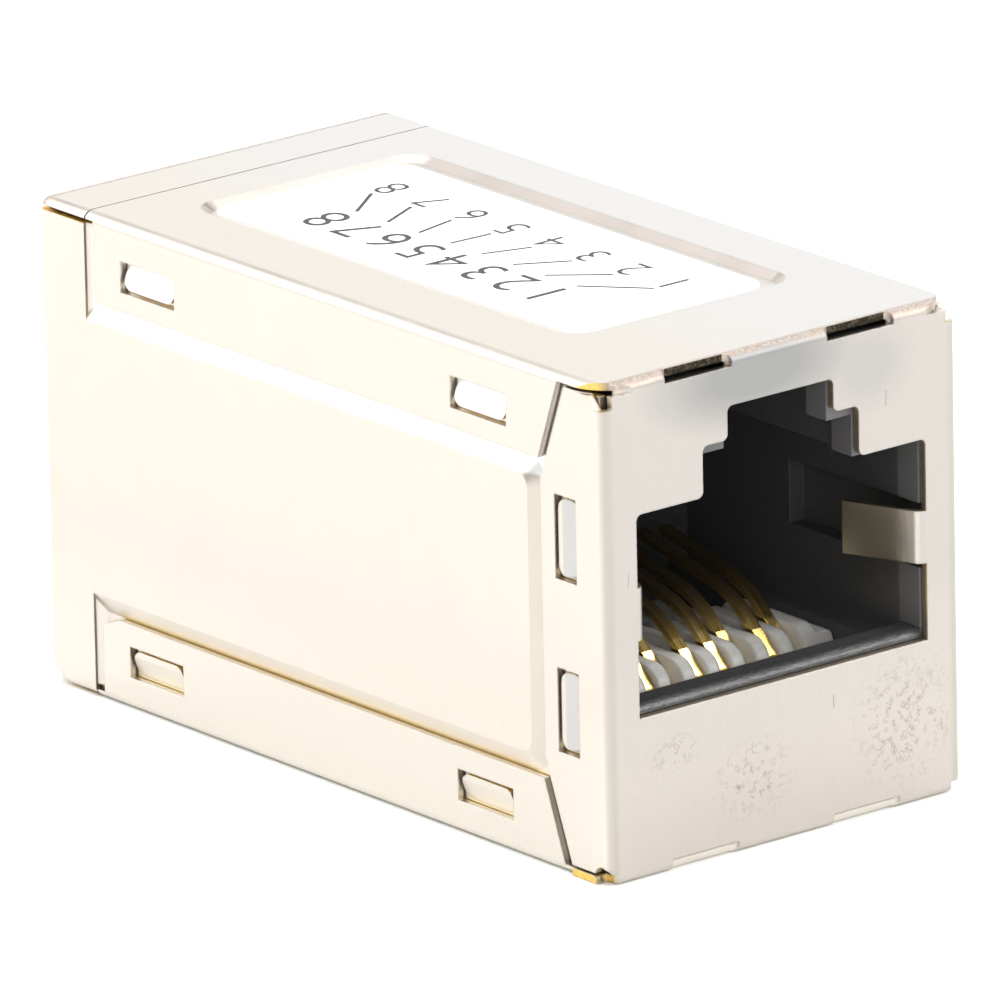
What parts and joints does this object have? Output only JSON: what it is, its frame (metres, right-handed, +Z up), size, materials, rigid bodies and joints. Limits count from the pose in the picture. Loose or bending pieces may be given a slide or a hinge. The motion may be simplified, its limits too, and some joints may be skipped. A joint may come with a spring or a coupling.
{
  "type": "rj45 inline coupler",
  "caption": "Shielded inline coupler with a female modular jack at each end, folded nickel-plated sheet shields, jack housings and spring contacts.",
  "frame": {"origin": "middle of the underside, on the surface the coupler rests on", "axes": "+X across the width, +Y from the front port to the rear port, +Z up towards the label; the front port faces -Y and the latch slots are at the top"},
  "size_m": [0.0146, 0.0286, 0.0165],
  "materials": {
    "nickel_sheet": "satin nickel plate on folded sheet, warm at the cut edges",
    "housing_plastic": "satin black moulded plastic",
    "tray_plastic": "natural translucent moulded plastic",
    "gold_contact": "bright gold plate",
    "board_laminate": "green solder mask on glass laminate",
    "label_film": "matte white film"
  },
  "bodies": {
    "root": {"front_shield": "nickel_sheet", "rear_shield": "nickel_sheet", "front_housing": "housing_plastic", "rear_housing": "housing_plastic", "front_contact_tray": "tray_plastic", "rear_contact_tray": "tray_plastic", "front_contact_1": "gold_contact", "front_contact_2": "gold_contact", "front_contact_3": "gold_contact", "front_contact_4": "gold_contact", "front_contact_5": "gold_contact", "front_contact_6": "gold_contact", "front_contact_7": "gold_contact", "front_contact_8": "gold_contact", "rear_contact_1": "gold_contact", "rear_contact_2": "gold_contact", "rear_contact_3": "gold_contact", "rear_contact_4": "gold_contact", "rear_contact_5": "gold_contact", "rear_contact_6": "gold_contact", "rear_contact_7": "gold_contact", "rear_contact_8": "gold_contact", "circuit_board": "board_laminate", "label": "label_film"}
  },
  "joints": []
}
